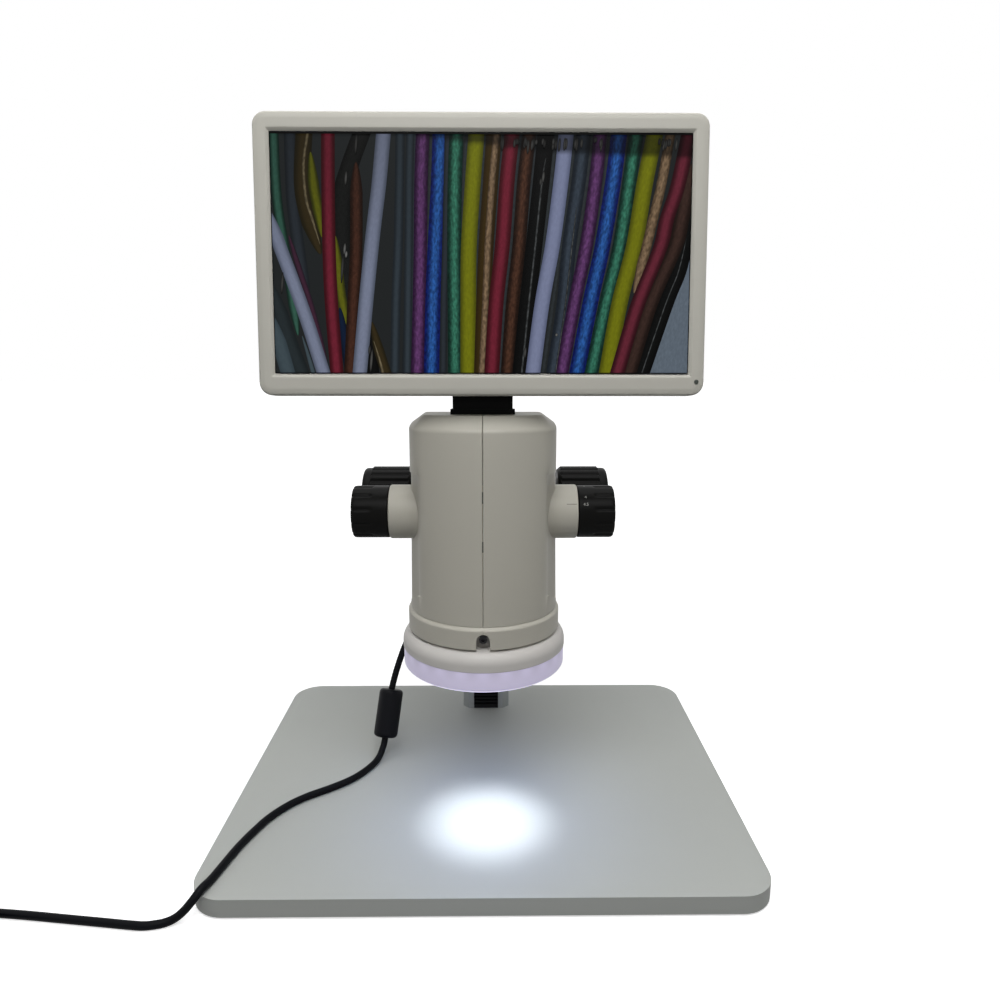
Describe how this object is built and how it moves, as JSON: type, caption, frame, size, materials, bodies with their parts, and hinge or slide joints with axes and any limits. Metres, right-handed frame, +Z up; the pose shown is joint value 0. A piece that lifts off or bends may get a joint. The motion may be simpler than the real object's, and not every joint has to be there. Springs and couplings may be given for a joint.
{
  "type": "lcd digital microscope",
  "caption": "Bench zoom microscope: a camera head with ring light and tilting display, on a rack-focused column over a wide base plate.",
  "frame": {"origin": "middle of the base plate's footprint, on the surface the rubber feet rest on", "axes": "+Z up along the column, +X to the right of the person who looks at the display, +Y away from them, towards the column"},
  "size_m": [0.525, 0.393, 0.4512],
  "materials": {
    "base_paint": "light grey fine powder coat on a steel plate",
    "cream_paint": "cream satin paint on cast aluminium",
    "cream_plastic": "cream moulded plastic with a fine texture",
    "display_plastic": "pale grey moulded plastic",
    "column_metal": "anodised aluminium, drawn along its length",
    "black_metal": "satin black paint on metal",
    "rack_steel": "blackened steel rack",
    "shaft_steel": "ground steel shaft",
    "screw_steel": "black oxide steel screws",
    "bright_screw": "zinc plated steel screws",
    "brass": "turned brass",
    "frame_metal": "cast aluminium frame",
    "lens_glass": "coated optical glass",
    "circuit_board": "green circuit board with dark chips",
    "led_white": "white light-emitting diodes",
    "diffuser": "milky translucent diffuser",
    "knob_plastic": "black moulded plastic with ribs",
    "screen": "display panel showing a live picture",
    "indicator": "small clear light pipe",
    "button_plastic": "dark grey button caps",
    "foot_rubber": "black rubber",
    "cord_rubber": "black flexible cord jacket",
    "cord_plastic": "black moulded plastic of the plugs and the ferrite bead"
  },
  "bodies": {
    "stand": {"base_plate": "base_paint", "rubber_feet": "foot_rubber", "column": "column_metal", "rack": "rack_steel", "column_cap": "black_metal", "column_screws": "screw_steel", "cord_drop": "cord_rubber", "ferrite": "cord_plastic", "cord_run": "cord_rubber", "cord_coil": "cord_rubber", "usb_plug": "cord_plastic"},
    "head": {"focus_carriage": "cream_paint", "gib_strip": "brass", "gib_screws": "screw_steel", "head_arm": "cream_paint", "arm_screws": "screw_steel", "chassis": "frame_metal", "head_shell_left": "cream_plastic", "head_shell_right": "cream_plastic", "shell_screws": "screw_steel", "collar_screw": "screw_steel", "objective_cell": "black_metal", "front_lens": "lens_glass", "zoom_barrel": "black_metal", "camera_body": "black_metal", "camera_board": "circuit_board", "driver_board": "circuit_board", "power_socket": "cord_plastic", "cord_plug": "cord_plastic", "zoom_boss_left": "cream_plastic", "zoom_boss_right": "cream_plastic", "ring_housing": "cream_plastic", "led_board": "circuit_board", "leds": "led_white", "ring_diffuser": "diffuser", "display_bracket": "black_metal", "bracket_screws": "screw_steel", "hinge_pin": "shaft_steel"},
    "focus_drive": {"focus_shaft": "shaft_steel", "focus_knob_left": "knob_plastic", "focus_knob_right": "knob_plastic"},
    "zoom_drive_left": {"zoom_knob_left": "knob_plastic", "zoom_shaft_left": "shaft_steel"},
    "zoom_drive_right": {"zoom_knob_right": "knob_plastic", "zoom_shaft_right": "shaft_steel"},
    "drum": {"zoom_drum": "brass"},
    "front_group": {"zoom_lens_front": "lens_glass"},
    "rear_group": {"zoom_lens_rear": "lens_glass"},
    "display": {"display_bezel": "display_plastic", "display_cover": "display_plastic", "display_mount": "black_metal", "display_screws": "bright_screw", "lcd_panel": "screen", "display_board": "circuit_board", "indicator_lens": "indicator"},
    "menu": {"menu_button": "button_plastic"},
    "down": {"down_button": "button_plastic"},
    "up": {"up_button": "button_plastic"},
    "source": {"source_button": "button_plastic"},
    "power": {"power_button": "button_plastic"}
  },
  "joints": [
    {"name": "focus_slide", "type": "slide", "parent": "stand", "child": "head", "axis": [0, 0, 1], "range_m": [-0.08, 0.044], "deforming": ["cord_drop"]},
    {"name": "focus_turn", "type": "hinge", "parent": "head", "child": "focus_drive", "pos_m": [0, 0.085, 0.2055], "axis": [1, 0, 0], "range_deg": [-300, 520]},
    {"name": "zoom_drum_turn", "type": "hinge", "parent": "head", "child": "drum", "pos_m": [0, -0.069, 0.2295], "axis": [0, 0, 1], "range_deg": [0, 72]},
    {"name": "zoom_left_turn", "type": "hinge", "parent": "head", "child": "zoom_drive_left", "pos_m": [-0.05, -0.069, 0.2295], "axis": [1, 0, 0], "range_deg": [-268.43, 0]},
    {"name": "zoom_right_turn", "type": "hinge", "parent": "head", "child": "zoom_drive_right", "pos_m": [0.05, -0.069, 0.2295], "axis": [1, 0, 0], "range_deg": [0, 268.43]},
    {"name": "front_group_slide", "type": "slide", "parent": "head", "child": "front_group", "axis": [0, 0, 1], "range_m": [0, 0.0142]},
    {"name": "rear_group_slide", "type": "slide", "parent": "head", "child": "rear_group", "axis": [0, 0, 1], "range_m": [-0.0102, 0]},
    {"name": "display_tilt", "type": "hinge", "parent": "head", "child": "display", "pos_m": [0, -0.072, 0.352], "axis": [1, 0, 0], "range_deg": [-30, 5]},
    {"name": "menu_press", "type": "slide", "parent": "display", "child": "menu", "axis": [0, -0.9945, 0.1045], "range_m": [0, 0.0008], "stiffness_N_per_m": 600},
    {"name": "down_press", "type": "slide", "parent": "display", "child": "down", "axis": [0, -0.9945, 0.1045], "range_m": [0, 0.0008], "stiffness_N_per_m": 600},
    {"name": "up_press", "type": "slide", "parent": "display", "child": "up", "axis": [0, -0.9945, 0.1045], "range_m": [0, 0.0008], "stiffness_N_per_m": 600},
    {"name": "source_press", "type": "slide", "parent": "display", "child": "source", "axis": [0, -0.9945, 0.1045], "range_m": [0, 0.0008], "stiffness_N_per_m": 600},
    {"name": "power_press", "type": "slide", "parent": "display", "child": "power", "axis": [0, -0.9945, 0.1045], "range_m": [0, 0.0008], "stiffness_N_per_m": 600}
  ],
  "couplings": [
    {"joint": "focus_turn", "follows": "focus_slide", "rad_per_m": -111.11},
    {"joint": "zoom_left_turn", "follows": "zoom_drum_turn", "ratio": -3.7143},
    {"joint": "zoom_right_turn", "follows": "zoom_drum_turn", "ratio": 3.7143},
    {"joint": "front_group_slide", "follows": "zoom_drum_turn", "m_per_rad": 0.011141},
    {"joint": "rear_group_slide", "follows": "zoom_drum_turn", "m_per_rad": -0.007958}
  ]
}
